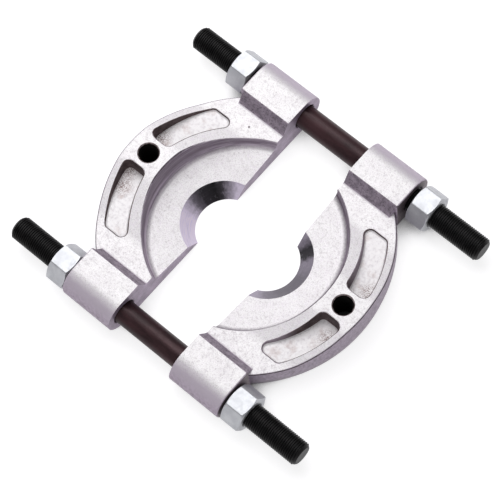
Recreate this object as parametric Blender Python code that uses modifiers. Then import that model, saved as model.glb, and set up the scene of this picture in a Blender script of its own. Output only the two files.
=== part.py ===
# Bearing race puller: two forged half-moon jaws drawn together on two threaded studs by four nuts.
# X runs along the studs, Y from the front stud to the rear one, Z up; metres.
# The origin lies under the middle of the studs, on the surface that the jaws rest on.

import math

import bmesh
import bpy
from mathutils import Matrix, Vector

# Studs
stud_diameter = 0.015875      # 5/8 inch
stud_length = 0.2286          # 9 inches
stud_spacing = 0.167          # between the two stud axes
stud_end_chamfer = 0.0016
stud_thread_length = 0.0794   # from each end; the middle is a plain shank
shank_relief = 0.00012        # the plain shank is this much smaller in radius

# Nuts
nut_across_flats = 0.0238     # 15/16 inch
nut_thickness = 0.0143
nut_chamfer_angle = math.radians(28)
nut_face_diameter = 0.0229    # flat ring left between the chamfers
nut_thread_clearance = 0.0003
nut_mouth = 0.0009            # countersink at both ends of the bore

# Gaps between each nut's inner face and its lug
nut_gaps = {
    ("left", "front"): 0.0007,
    ("left", "rear"): 0.0026,
    ("right", "front"): 0.0010,
    ("right", "rear"): 0.0033,
}

# Where the jaws stand on the studs
jaw_gap = 0.0488              # between the two split faces
jaw_shift = -0.0025           # middle of the gap, from the middle of the studs

# Lugs that carry the studs
lug_length = 0.038
lug_height = 0.028
lug_inner_reach = 0.01575     # from the stud axis to the face over the rim
lug_edge = 0.0008             # rounding of the end faces
lug_corner = 0.0016           # rounding of the inner top edge
lug_side_slope = math.radians(60)  # of the inner side, from level
lug_foot_radius = 0.0030      # where the inner side meets the rim's top
stud_bore_clearance = 0.0004
bore_mouth = 0.0006

# Rim: arcs about an axis that lies beyond the split face; its top is level round the puller hole
# and level again by the lugs, with a ramp on each side between the two levels
arc_offset = 0.0225
rim_corner_setback = 0.00063  # how far the outer arc passes inside the lugs' inner nut-end corners
rim_boss_setback = 0.0007     # top level round the puller hole, below the lugs' tops
ramp_drop = 0.0083            # from there to the level by the lugs
ramp_start = 0.012            # from the jaw's centre line
ramp_end = 0.0473
ramp_blend = 0.0030           # rounding at both ends of a ramp, to each side
rim_edge_radius = 0.0010      # rounding of the outer top edge
rim_parting_height = 0.009    # widest line of the drafted outer wall
rim_upper_draft = 0.0003
rim_lower_draft = 0.0013
rim_foot_radius = 0.0018

# Dished recess inside the rim
rim_width = 0.0276            # at the boss level
recess_wall_taper = 0.14      # radius gained for each unit of height
recess_edge = 0.0008
recess_fillet = 0.0052
recess_depth = 0.0105         # below the rim's low level, at the notch's corners
recess_floor_slope = 0.17

# Half-round notch with the knife edge
notch_offset = 0.0085
knife_radius = 0.0203
knife_land = 0.0004
notch_slope = 0.98            # radius gained for each unit of height

# Kidney-shaped pockets in the rim
pocket_inner_wall = 0.0073    # the outline's sizes hold halfway between the two levels of the rim
pocket_outer_wall = 0.0053
pocket_near_end = 0.0105      # distance of the end by the puller hole from the jaw's centre line
pocket_far_end = 0.0512
pocket_corner = 0.0042
pocket_depth = 0.0015         # below the rim's low level
pocket_draft = 0.08
pocket_floor_fillet = 0.0012

# Threaded hole for the puller bolt
puller_hole_diameter = 0.0115
puller_hole_place = 0.0535    # from the split face
puller_hole_mouth = 0.0141    # diameter of the countersinks

# Facets
ring_steps = 112
notch_steps = 88
hole_steps = 32
stud_steps = 48
corner_steps = 4
smooth_angle = math.radians(32)

# Values that follow from those above
stud_radius = stud_diameter / 2
stud_height = lug_height / 2
bore_radius = stud_radius + stud_bore_clearance
lug_face = stud_spacing / 2 - lug_inner_reach
rim_outer_radius = math.hypot(arc_offset + lug_length, lug_face) - rim_corner_setback
jaw_depth = rim_outer_radius - arc_offset
rim_boss_height = lug_height - rim_boss_setback
rim_low_height = rim_boss_height - ramp_drop
ramp_fall = ramp_drop / (ramp_end - ramp_start)
recess_top_radius = rim_outer_radius - rim_width
recess_floor_height = rim_low_height - recess_depth
pocket_inner_radius = recess_top_radius + pocket_inner_wall
pocket_outer_radius = rim_outer_radius - pocket_outer_wall
pocket_floor_height = rim_low_height - pocket_depth
side_sign = {"left": -1, "right": 1}
row_sign = {"front": -1, "rear": 1}
overcut = 0.003               # how far cutters run past what they cut
sink = 0.00003                # how deep a blending strip starts under the faces that it joins


def clear_scene():
    for obj in list(bpy.data.objects):
        bpy.data.objects.remove(obj, do_unlink=True)


def make_collection(name):
    collection = bpy.data.collections.new(name)
    bpy.context.scene.collection.children.link(collection)
    return collection


def make_material(name, colour, roughness, metallic):
    material = bpy.data.materials.new(name)
    material.use_nodes = True
    shader = material.node_tree.nodes["Principled BSDF"]
    shader.inputs["Base Color"].default_value = (*colour, 1)
    shader.inputs["Roughness"].default_value = roughness
    shader.inputs["Metallic"].default_value = metallic
    return material


def add_object(name, data, collection):
    obj = bpy.data.objects.new(name, data)
    collection.objects.link(obj)
    return obj


def evaluated_mesh(obj):
    # the mesh that the object's curve or modifiers give
    bpy.context.view_layer.update()
    return bpy.data.meshes.new_from_object(obj.evaluated_get(bpy.context.evaluated_depsgraph_get()))


def bake(obj):
    # puts the modifiers' result and the object's place into its mesh
    mesh = evaluated_mesh(obj)
    mesh.transform(obj.matrix_basis)
    obj.modifiers.clear()
    obj.data = mesh
    obj.matrix_basis = Matrix()


def arc(centre, radius, start, end, steps):
    # points on an arc in a plane, both ends included
    angles = [start + (end - start) * i / steps for i in range(steps + 1)]
    return [(centre[0] + radius * math.cos(a), centre[1] + radius * math.sin(a)) for a in angles]


def turned(name, profile, steps, collection):
    # profile: (radius, height) points that run down the outer side, from pole to pole
    mesh = bpy.data.meshes.new(name)
    edges = [(i, i + 1) for i in range(len(profile) - 1)]
    mesh.from_pydata([(radius, 0, height) for radius, height in profile], edges, [])
    obj = add_object(name, mesh, collection)
    turn = obj.modifiers.new("turn", "SCREW")
    turn.axis = "Z"
    turn.angle = math.tau
    turn.steps = steps
    turn.render_steps = steps
    turn.use_merge_vertices = True
    turn.merge_threshold = 0.000005
    return obj


def extruded(name, outline, start, end, edge, collection):
    # flat outline in the YZ plane, extruded along X with rounded end edges
    curve = bpy.data.curves.new(name, "CURVE")
    curve.dimensions = "2D"
    curve.fill_mode = "BOTH"
    curve.extrude = (end - start) / 2 - edge
    curve.bevel_depth = edge
    curve.bevel_resolution = 1
    curve.offset = -edge
    spline = curve.splines.new("POLY")
    spline.points.add(len(outline) - 1)
    for point, (across, height) in zip(spline.points, outline):
        point.co = (across, height, 0, 1)
    spline.use_cyclic_u = True
    drawn = add_object(name + "_outline", curve, collection)
    mesh = evaluated_mesh(drawn)
    bpy.data.objects.remove(drawn, do_unlink=True)
    stand_up = Matrix(((0, 0, 1, (start + end) / 2), (1, 0, 0, 0), (0, 1, 0, 0), (0, 0, 0, 1)))
    mesh.transform(stand_up)
    work = bmesh.new()
    work.from_mesh(mesh)
    bmesh.ops.remove_doubles(work, verts=work.verts, dist=0.000001)
    bmesh.ops.recalc_face_normals(work, faces=work.faces)
    for vertex in work.verts:
        # whole micrometres keep the flat faces truly flat
        vertex.co = [round(value, 6) for value in vertex.co]
    work.to_mesh(mesh)
    work.free()
    return add_object(name, mesh, collection)


def loft(name, rings, collection):
    # skins closed rings of equal length and caps both ends
    mesh = bpy.data.meshes.new(name)
    work = bmesh.new()
    rows = [[work.verts.new(point) for point in ring] for ring in rings]
    count = len(rings[0])
    for row, following in zip(rows, rows[1:]):
        for i in range(count):
            j = (i + 1) % count
            work.faces.new((row[i], row[j], following[j], following[i]))
    work.faces.new(rows[0])
    work.faces.new(rows[-1])
    bmesh.ops.recalc_face_normals(work, faces=work.faces)
    work.to_mesh(mesh)
    work.free()
    return add_object(name, mesh, collection)


def block(name, low, high, collection):
    mesh = bpy.data.meshes.new(name)
    work = bmesh.new()
    bmesh.ops.create_cube(work, size=1)
    size = Vector(high) - Vector(low)
    middle = (Vector(high) + Vector(low)) / 2
    bmesh.ops.transform(work, matrix=Matrix.Translation(middle) @ Matrix.Diagonal((*size, 1)), verts=work.verts)
    work.to_mesh(mesh)
    work.free()
    return add_object(name, mesh, collection)


def mirror_across(obj):
    # repeats a rear shape at the front, across the jaw's centre line
    mirror = obj.modifiers.new("mirror", "MIRROR")
    mirror.use_axis = (False, True, False)
    mirror.use_mirror_merge = False
    return obj


def combine(obj, other, operation):
    other.hide_render = True
    other.display_type = "WIRE"
    boolean = obj.modifiers.new(other.name, "BOOLEAN")
    boolean.operation = operation
    boolean.solver = "EXACT"
    boolean.object = other


def finish(obj, material):
    # keeps the cut shape as the object's own mesh, smooth but for its real edges
    bake(obj)
    obj.data.name = obj.name
    obj.data.materials.clear()
    obj.data.materials.append(material)
    obj.data.shade_smooth()
    obj.data.set_sharp_from_angle(angle=smooth_angle)


def rim_breaks():
    # distances from the jaw's centre line between which the rim's top is flat
    shares = (-1, -1 / 3, 1 / 3, 1)
    return [end + ramp_blend * share for end in (ramp_start, ramp_end) for share in shares]


def rim_top(across):
    # height of the rim's top; each end of a ramp is a short parabola
    def fallen(past):
        if past <= -ramp_blend:
            return 0
        if past >= ramp_blend:
            return past
        return (past + ramp_blend) ** 2 / (4 * ramp_blend)

    return rim_boss_height - ramp_fall * (fallen(abs(across) - ramp_start) - fallen(abs(across) - ramp_end))


def dissolve_poles(obj):
    # turns the fans round the axis into single flat faces
    work = bmesh.new()
    work.from_mesh(obj.data)
    poles = [vertex for vertex in work.verts if math.hypot(vertex.co.x, vertex.co.y) < sink]
    bmesh.ops.dissolve_verts(work, verts=poles)
    work.to_mesh(obj.data)
    work.free()


def split_at_breaks(obj):
    # lines across the flat top where its slope changes
    work = bmesh.new()
    work.from_mesh(obj.data)
    for distance in rim_breaks():
        for across in (-distance, distance):
            whole = list(work.verts) + list(work.edges) + list(work.faces)
            bmesh.ops.bisect_plane(work, geom=whole, dist=0.000001, plane_co=(0, across, 0), plane_no=(0, 1, 0))
    work.to_mesh(obj.data)
    work.free()


def follow_top(obj, lowest, taper=0.0):
    # lowers what lies above a height from the boss level to the rim's top, along a wall with this taper
    for vertex in obj.data.vertices:
        if vertex.co.z > lowest:
            radius = max(math.hypot(vertex.co.x + arc_offset, vertex.co.y), sink)
            shrink = 1.0
            for _ in range(5):
                drop = rim_boss_height - rim_top(vertex.co.y * shrink)
                shrink = max(1 - taper * drop / radius, 0)
            vertex.co.x = (vertex.co.x + arc_offset) * shrink - arc_offset
            vertex.co.y *= shrink
            vertex.co.z -= drop


def rim_blank(name, collection):
    # disc with a drafted outer wall, a rounded foot and a rounded top edge
    upper = rim_outer_radius - rim_upper_draft
    lower = rim_outer_radius - rim_lower_draft
    profile = [(0, rim_boss_height)]
    edge = (upper - rim_edge_radius, rim_boss_height - rim_edge_radius)
    profile += arc(edge, rim_edge_radius, math.pi / 2, 0, corner_steps - 1)
    profile.append((rim_outer_radius, rim_parting_height))
    foot = (lower - rim_foot_radius, rim_foot_radius)
    profile += arc(foot, rim_foot_radius, 0, -math.pi / 2, corner_steps - 1)
    profile.append((0, 0))
    rim = turned(name, profile, ring_steps, collection)
    bake(rim)
    dissolve_poles(rim)
    rim.location.x = -arc_offset
    bake(rim)
    split_at_breaks(rim)
    follow_top(rim, rim_parting_height + rim_edge_radius)
    return rim


def lug_blank(name, collection):
    # flat top and base, half-round outer side
    inner = -lug_inner_reach
    outline = [(inner, 0)]
    outline += arc((0, stud_height), stud_height, -math.pi / 2, math.pi / 2, 4 * corner_steps)
    outline += arc((inner + lug_corner, lug_height - lug_corner), lug_corner, math.pi / 2, math.pi, corner_steps - 1)
    outline = [(stud_spacing / 2 + across, height) for across, height in outline]
    return mirror_across(extruded(name, outline, -overcut, lug_length, lug_edge, collection))


def lug_side(name, collection):
    # slope from the lug's rounded top edge down to the rim's low level, with a concave foot
    base = rim_low_height - sink
    top = lug_height - lug_corner * (1 - math.cos(lug_side_slope)) - sink
    edge = lug_face + lug_corner * (1 - math.sin(lug_side_slope)) + sink
    run = (top - base) / math.tan(lug_side_slope)
    foot = edge - run - lug_foot_radius * math.tan(lug_side_slope / 2)
    outline = [(edge + lug_corner, base - overcut), (edge + lug_corner, top), (edge, top)]
    centre = (foot, base + lug_foot_radius)
    outline += arc(centre, lug_foot_radius, lug_side_slope - math.pi / 2, -math.pi / 2, corner_steps)
    outline.append((foot, base - overcut))
    return mirror_across(extruded(name, outline, -overcut / 2, lug_length - 2 * lug_edge, 0, collection))


def recess_cutter(name, collection):
    # dished floor, filleted foot, tapered wall and a broken top edge
    notch_corner = math.hypot(arc_offset, knife_radius + notch_slope * recess_floor_height)

    def floor(radius):
        return recess_floor_height + recess_floor_slope * (radius - notch_corner)

    foot_radius = recess_top_radius - recess_wall_taper * (rim_boss_height - floor(recess_top_radius) - recess_fillet)
    fillet_start = foot_radius - recess_fillet
    core = recess_fillet
    flare = recess_edge / 2
    profile = [
        (0, rim_boss_height + overcut),
        (recess_top_radius + flare + overcut, rim_boss_height + overcut),
        (recess_top_radius, rim_boss_height - flare),
        (recess_top_radius - flare, rim_boss_height - flare - recess_edge),
    ]
    for radius, height in arc((fillet_start, 0), recess_fillet, 0, -math.pi / 2, corner_steps + 1):
        profile.append((radius, floor(fillet_start) + recess_fillet + height))
    profile += [(core, floor(core)), (0, floor(core))]
    cutter = turned(name, profile, ring_steps, collection)
    cutter.location.x = -arc_offset
    bake(cutter)
    follow_top(cutter, rim_boss_height - recess_edge * 2, recess_wall_taper)
    return cutter


def notch_cutter(name, collection):
    # cone that opens upwards from the knife edge
    top = rim_boss_height + overcut
    profile = [
        (0, top),
        (knife_radius + notch_slope * (top - knife_land), top),
        (knife_radius, knife_land),
        (knife_radius, -overcut),
        (0, -overcut),
    ]
    cutter = turned(name, profile, notch_steps, collection)
    cutter.location.x = -notch_offset
    return cutter


def pocket_outline(inset):
    # kidney outline between two arcs and two ends that run along the studs
    inner = pocket_inner_radius + inset
    outer = pocket_outer_radius - inset
    near = pocket_near_end + inset
    far = pocket_far_end - inset
    corner = max(pocket_corner - inset, pocket_corner / 4)

    def centre(radius, across):
        return (math.sqrt(radius ** 2 - across ** 2), across)

    def heading(point):
        return math.atan2(point[1], point[0])

    inner_near = centre(inner + corner, near + corner)
    outer_near = centre(outer - corner, near + corner)
    outer_far = centre(outer - corner, far - corner)
    inner_far = centre(inner + corner, far - corner)
    outline = []
    outline += arc(inner_near, corner, heading(inner_near) + math.pi, 1.5 * math.pi, corner_steps)
    outline += arc(outer_near, corner, -math.pi / 2, heading(outer_near), corner_steps)
    outline += arc((0, 0), outer, heading(outer_near), heading(outer_far), 3 * corner_steps)[1:-1]
    outline += arc(outer_far, corner, heading(outer_far), math.pi / 2, corner_steps)
    outline += arc(inner_far, corner, math.pi / 2, heading(inner_far) + math.pi, corner_steps)
    outline += arc((0, 0), inner, heading(inner_far), heading(inner_near), 3 * corner_steps)[1:-1]
    return outline


def pocket_cutter(name, collection):
    # drafted walls that widen upwards from a flat floor
    drawn_at = (rim_boss_height + rim_low_height) / 2
    above = rim_boss_height + overcut
    floor_inset = pocket_draft * (drawn_at - pocket_floor_height)
    levels = [
        (pocket_floor_height, floor_inset + pocket_floor_fillet),
        (pocket_floor_height + pocket_floor_fillet / 3, floor_inset + pocket_floor_fillet / 3),
        (pocket_floor_height + pocket_floor_fillet, floor_inset - pocket_draft * pocket_floor_fillet),
        (above, pocket_draft * (drawn_at - above)),
    ]
    rings = []
    for height, inset in levels:
        rings.append([Vector((x - arc_offset, y, height)) for x, y in pocket_outline(inset)])
    return mirror_across(loft(name, rings, collection))


def mouthed_bore(name, radius, mouth_radius, low, high, steps, collection):
    # round cutter along Z that flares at both ends
    flare = mouth_radius - radius
    profile = [
        (0, high + overcut),
        (mouth_radius + overcut, high + overcut),
        (radius, high - flare),
        (radius, low + flare),
        (mouth_radius + overcut, low - overcut),
        (0, low - overcut),
    ]
    return turned(name, profile, steps, collection)


def puller_hole_cutter(name, collection):
    top = rim_boss_height
    cutter = mouthed_bore(name, puller_hole_diameter / 2, puller_hole_mouth / 2, 0, top, hole_steps, collection)
    cutter.location.x = puller_hole_place
    return cutter


def stud_bore_cutter(name, collection):
    # bore along X, with a small countersink at both faces of the lug
    cutter = mouthed_bore(name, bore_radius, bore_radius + bore_mouth, 0, lug_length, hole_steps, collection)
    bake(cutter)
    lay_down = Matrix.Translation((0, stud_spacing / 2, stud_height)) @ Matrix.Rotation(math.pi / 2, 4, "Y")
    cutter.data.transform(lay_down)
    return mirror_across(cutter)


def build_jaw_mesh(cutters, material):
    # modelled with its split face at x = 0 and its body towards +X
    jaw = rim_blank("jaw_blank", cutters)
    jaw.hide_render = True
    reach = lug_face + lug_inner_reach / 2
    over = lug_height + rim_boss_height
    between_lugs = block("rim_limits", (-2 * overcut, -reach, -overcut), (jaw_depth + overcut, reach, over), cutters)
    combine(jaw, between_lugs, "INTERSECT")
    combine(jaw, lug_blank("lugs", cutters), "UNION")
    combine(jaw, lug_side("lug_sides", cutters), "UNION")
    width = stud_spacing + lug_height
    split = block("split", (-arc_offset - rim_outer_radius - overcut, -width, -overcut), (0, width, over), cutters)
    combine(jaw, split, "DIFFERENCE")
    combine(jaw, notch_cutter("notch", cutters), "DIFFERENCE")
    combine(jaw, recess_cutter("recess", cutters), "DIFFERENCE")
    combine(jaw, pocket_cutter("pockets", cutters), "DIFFERENCE")
    combine(jaw, stud_bore_cutter("stud_bores", cutters), "DIFFERENCE")
    combine(jaw, puller_hole_cutter("puller_hole", cutters), "DIFFERENCE")
    finish(jaw, material)
    mesh = jaw.data
    bpy.data.objects.remove(jaw, do_unlink=True)
    return mesh


def place_jaw(side, jaw_mesh, parts):
    # one casting, turned about for the left; its origin lies on the axis of the stud that it slides on
    sign = side_sign[side]
    mesh = jaw_mesh.copy()
    mesh.name = "jaw_" + side
    mesh.transform(Matrix.Translation((0, sign * stud_spacing / 2, -stud_height)))
    jaw = add_object("jaw_" + side, mesh, parts)
    jaw.location = (jaw_shift + sign * jaw_gap / 2, row_sign["front"] * stud_spacing / 2, stud_height)
    if sign < 0:
        jaw.rotation_euler.z = math.pi
    return jaw


def build_stud_mesh(cutters, material):
    half = stud_length / 2
    thread_end = half - stud_thread_length
    shank = stud_radius - shank_relief
    nose = stud_radius - stud_end_chamfer
    profile = [
        (0, half),
        (nose, half),
        (stud_radius, half - stud_end_chamfer),
        (stud_radius, thread_end),
        (shank, thread_end - shank_relief),
        (shank, -thread_end + shank_relief),
        (stud_radius, -thread_end),
        (stud_radius, -half + stud_end_chamfer),
        (nose, -half),
        (0, -half),
    ]
    stud = turned("stud_blank", profile, stud_steps, cutters)
    finish(stud, material)
    mesh = stud.data
    bpy.data.objects.remove(stud, do_unlink=True)
    return mesh


def build_nut_mesh(cutters, material):
    # hexagonal bar with its corners turned off at both ends, then bored
    half = nut_thickness / 2
    corner = nut_across_flats / math.sqrt(3)
    trim_radius = corner + overcut
    drop = (trim_radius - nut_face_diameter / 2) * math.tan(nut_chamfer_angle)
    mesh = bpy.data.meshes.new("nut_blank")
    work = bmesh.new()
    length = nut_thickness + 2 * overcut
    bmesh.ops.create_cone(work, cap_ends=True, segments=6, radius1=corner, radius2=corner, depth=length)
    work.to_mesh(mesh)
    work.free()
    nut = add_object("nut_blank", mesh, cutters)
    profile = [
        (0, half),
        (nut_face_diameter / 2, half),
        (trim_radius, half - drop),
        (trim_radius, drop - half),
        (nut_face_diameter / 2, -half),
        (0, -half),
    ]
    trim = turned("nut_trim", profile, stud_steps, cutters)
    trim.rotation_euler.z = math.pi / stud_steps
    combine(nut, trim, "INTERSECT")
    radius = stud_radius + nut_thread_clearance
    bore = mouthed_bore("nut_bore", radius, radius + nut_mouth, -half, half, stud_steps, cutters)
    combine(nut, bore, "DIFFERENCE")
    finish(nut, material)
    mesh = nut.data
    bpy.data.objects.remove(nut, do_unlink=True)
    return mesh


def place_along_stud(name, mesh, distance, row_name, parts):
    # a turned piece on a stud's axis, with a flat of the nuts facing up
    obj = add_object(name, mesh, parts)
    obj.location = (distance, row_sign[row_name] * stud_spacing / 2, stud_height)
    obj.rotation_euler = (0, math.pi / 2, 0)
    return obj


def build_puller():
    clear_scene()
    parts = make_collection("bearing_race_puller")
    cutters = make_collection("cutters")
    plated_steel = make_material("plated_steel", (0.80, 0.79, 0.82), 0.42, 0.85)
    bright_zinc = make_material("bright_zinc", (0.72, 0.74, 0.78), 0.28, 1.0)
    black_oxide = make_material("black_oxide", (0.022, 0.018, 0.018), 0.38, 0.6)
    jaw_mesh = build_jaw_mesh(cutters, plated_steel)
    stud_mesh = build_stud_mesh(cutters, black_oxide)
    nut_mesh = build_nut_mesh(cutters, bright_zinc)
    for side in side_sign:
        place_jaw(side, jaw_mesh, parts)
    for row_name in row_sign:
        place_along_stud("stud_" + row_name, stud_mesh, 0, row_name, parts)
    for side, sign in side_sign.items():
        for row_name in row_sign:
            lug_end = jaw_gap / 2 + lug_length
            middle = lug_end + nut_gaps[side, row_name] + nut_thickness / 2
            name = "nut_" + side + "_" + row_name
            place_along_stud(name, nut_mesh, jaw_shift + sign * middle, row_name, parts)


build_puller()
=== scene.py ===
import bpy
import math
from mathutils import Matrix, Vector


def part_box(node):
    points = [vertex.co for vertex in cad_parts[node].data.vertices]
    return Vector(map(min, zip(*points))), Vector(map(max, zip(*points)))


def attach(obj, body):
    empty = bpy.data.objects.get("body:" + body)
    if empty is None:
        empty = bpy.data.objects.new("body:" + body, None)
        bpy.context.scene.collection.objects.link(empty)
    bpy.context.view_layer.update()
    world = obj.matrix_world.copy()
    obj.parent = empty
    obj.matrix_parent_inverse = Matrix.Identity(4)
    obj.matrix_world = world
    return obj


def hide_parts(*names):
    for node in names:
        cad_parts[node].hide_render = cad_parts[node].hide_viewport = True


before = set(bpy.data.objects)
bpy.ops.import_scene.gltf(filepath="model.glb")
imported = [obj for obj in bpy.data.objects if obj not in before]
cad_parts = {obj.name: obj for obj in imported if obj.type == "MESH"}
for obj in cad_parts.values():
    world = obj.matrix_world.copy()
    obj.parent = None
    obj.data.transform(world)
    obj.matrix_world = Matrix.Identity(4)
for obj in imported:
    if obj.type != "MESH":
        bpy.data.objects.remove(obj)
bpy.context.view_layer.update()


# small helpers

def clearSelection():
    if bpy.context.object and bpy.context.object.mode != "OBJECT":
        bpy.ops.object.mode_set(mode="OBJECT")
    bpy.ops.object.select_all(action="DESELECT")


def pick(piece):
    clearSelection()
    piece.select_set(True)
    bpy.context.view_layer.objects.active = piece


def rename(name):
    piece = bpy.context.object
    piece.name = name
    piece.data.name = name
    return piece


def applyModifiers(piece):
    pick(piece)
    for modifier in list(piece.modifiers):
        bpy.ops.object.modifier_apply(modifier=modifier.name)


def applyPlace(piece):
    pick(piece)
    bpy.ops.object.transform_apply(location=True, rotation=True, scale=True)


def editAll(piece):
    pick(piece)
    bpy.ops.object.mode_set(mode="EDIT")
    bpy.ops.mesh.select_all(action="SELECT")


def faceOutwards():
    # what is selected, then back to object mode
    bpy.ops.mesh.normals_make_consistent(inside=False)
    bpy.ops.object.mode_set(mode="OBJECT")


def mergeDoubles(piece, distance=0.000002):
    editAll(piece)
    bpy.ops.mesh.remove_doubles(threshold=distance)
    faceOutwards()


def drawProfile(name, points):
    # one vertex extruded from point to point, in the XZ plane: (radius, height)
    clearSelection()
    bpy.ops.mesh.primitive_plane_add(size=0.001)
    piece = rename(name)
    bpy.ops.object.mode_set(mode="EDIT")
    bpy.ops.mesh.select_all(action="SELECT")
    bpy.ops.mesh.merge(type="CENTER")
    bpy.ops.transform.translate(value=(points[0][0], 0, points[0][1]))
    for start, end in zip(points, points[1:]):
        step = (end[0] - start[0], 0, end[1] - start[1])
        bpy.ops.mesh.extrude_region_move(TRANSFORM_OT_translate={"value": step})
    bpy.ops.object.mode_set(mode="OBJECT")
    return piece


def turnPiece(name, points, steps, rise=0, turns=1):
    # the profile turned round Z; with a rise it becomes a thread
    piece = drawProfile(name, points)
    turn = piece.modifiers.new("turn", "SCREW")
    turn.axis = "Z"
    turn.steps = steps
    turn.render_steps = steps
    turn.screw_offset = rise
    turn.iterations = turns
    turn.use_merge_vertices = rise == 0
    turn.merge_threshold = 0.000002
    applyModifiers(piece)
    mergeDoubles(piece)
    return piece


def raisePiece(name, levels):
    # a flat outline extruded from level to level, each with as many points
    clearSelection()
    bpy.ops.mesh.primitive_circle_add(vertices=len(levels[0]), radius=0.01, fill_type="NGON")
    piece = rename(name)
    for vertex, point in zip(piece.data.vertices, levels[0]):
        vertex.co = point
    bpy.ops.object.mode_set(mode="EDIT")
    bpy.ops.mesh.select_all(action="SELECT")
    for below, level in zip(levels, levels[1:]):
        bpy.ops.mesh.extrude_region_move(TRANSFORM_OT_translate={"value": (0, 0, 0)})
        bpy.ops.object.mode_set(mode="OBJECT")
        count = len(level)
        vertices = piece.data.vertices
        for place in range(count):
            vertices[len(vertices) - count + place].co = level[place]
        bpy.ops.object.mode_set(mode="EDIT")
    bpy.ops.mesh.select_all(action="SELECT")
    faceOutwards()
    return piece


def cutOrJoin(piece, other, operation):
    change = piece.modifiers.new("change", "BOOLEAN")
    change.operation = operation
    change.solver = "EXACT"
    change.object = other
    applyModifiers(piece)
    bpy.data.objects.remove(other, do_unlink=True)


def mirrorAcross(piece):
    # the same shape again on the other side of the XZ plane
    flip = piece.modifiers.new("flip", "MIRROR")
    flip.use_axis = (False, True, False)
    flip.use_mirror_merge = False
    applyModifiers(piece)
    return piece


def arc(centre, radius, start, end, steps):
    angles = [start + (end - start) * step / steps for step in range(steps + 1)]
    x, y = centre
    return [(x + radius * math.cos(angle), y + radius * math.sin(angle)) for angle in angles]


def smoothShade(piece, angle=34, weighted=True):
    pick(piece)
    bpy.ops.object.shade_smooth_by_angle(angle=math.radians(angle))
    if weighted:
        even = piece.modifiers.new("even", "WEIGHTED_NORMAL")
        even.keep_sharp = True
        even.weight = 60
        applyModifiers(piece)


def copyPiece(piece, name):
    twin = piece.copy()
    twin.data = piece.data.copy()
    twin.name = twin.data.name = name
    bpy.context.scene.collection.objects.link(twin)
    return twin


# node materials

def newMaterial(name):
    material = bpy.data.materials.new(name)
    material.use_nodes = True
    material.node_tree.nodes.clear()
    return material


def addNode(material, kind, **settings):
    node = material.node_tree.nodes.new(kind)
    for key, value in settings.items():
        setattr(node, key, value)
    return node


def wire(material, start, end):
    material.node_tree.links.new(start, end)


def patterned(name):
    # with the object's own coordinates, which its patterns lie on
    material = newMaterial(name)
    return material, addNode(material, "ShaderNodeTexCoord").outputs["Object"]


def stretched(material, coords, scale):
    node = addNode(material, "ShaderNodeMapping")
    node.inputs["Scale"].default_value = scale
    wire(material, coords, node.inputs["Vector"])
    return node.outputs["Vector"]


def noiseField(material, coords, scale, detail, roughness=0.55):
    node = addNode(material, "ShaderNodeTexNoise")
    node.inputs["Scale"].default_value = scale
    node.inputs["Detail"].default_value = detail
    node.inputs["Roughness"].default_value = roughness
    wire(material, coords, node.inputs["Vector"])
    return node.outputs["Fac"]


def spread(material, field, low, high, outLow, outHigh):
    node = addNode(material, "ShaderNodeMapRange")
    node.inputs["From Min"].default_value = low
    node.inputs["From Max"].default_value = high
    node.inputs["To Min"].default_value = outLow
    node.inputs["To Max"].default_value = outHigh
    wire(material, field, node.inputs["Value"])
    return node.outputs["Result"]


def blendColours(material, factor, first, second):
    # first and second are colours, or sockets that give them
    node = addNode(material, "ShaderNodeMix", data_type="RGBA")
    wire(material, factor, node.inputs[0])
    for place, value in ((6, first), (7, second)):      # its two colour inputs
        if isinstance(value, tuple):
            node.inputs[place].default_value = (*value, 1)
        else:
            wire(material, value, node.inputs[place])
    return node.outputs[2]


def tint(material, field, low, high, share, first, second):
    # first where the field is low, and that share of second over it where the field is high
    return blendColours(material, spread(material, field, low, high, 0, share), first, second)


def bumpFrom(material, height, strength, distance, under=None):
    node = addNode(material, "ShaderNodeBump")
    node.inputs["Strength"].default_value = strength
    node.inputs["Distance"].default_value = distance
    wire(material, height, node.inputs["Height"])
    if under:
        wire(material, under, node.inputs["Normal"])
    return node.outputs["Normal"]


def closeMaterial(material, colour, roughness, metallic, normal, specular=0.5):
    shader = addNode(material, "ShaderNodeBsdfPrincipled")
    output = addNode(material, "ShaderNodeOutputMaterial")
    wire(material, colour, shader.inputs["Base Color"])
    wire(material, roughness, shader.inputs["Roughness"])
    shader.inputs["Metallic"].default_value = metallic
    shader.inputs["Specular IOR Level"].default_value = specular
    wire(material, normal, shader.inputs["Normal"])
    wire(material, shader.outputs["BSDF"], output.inputs["Surface"])


def slopeField(material, wobble):
    # 1 on level faces, 0 on upright ones, a little uneven
    normal = addNode(material, "ShaderNodeTexCoord").outputs["Normal"]
    parts = addNode(material, "ShaderNodeSeparateXYZ")
    wire(material, normal, parts.inputs[0])
    uneven = addNode(material, "ShaderNodeMath", operation="ADD")
    wire(material, parts.outputs["Z"], uneven.inputs[0])
    wire(material, wobble, uneven.inputs[1])
    return uneven.outputs[0]


def spotField(material, coords, spot, core, rim):
    # 1 within a small round spot, fading out to its rim
    far = addNode(material, "ShaderNodeVectorMath", operation="DISTANCE")
    far.inputs[1].default_value = spot
    wire(material, coords, far.inputs[0])
    return spread(material, far.outputs["Value"], core, rim, 1, 0)


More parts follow.
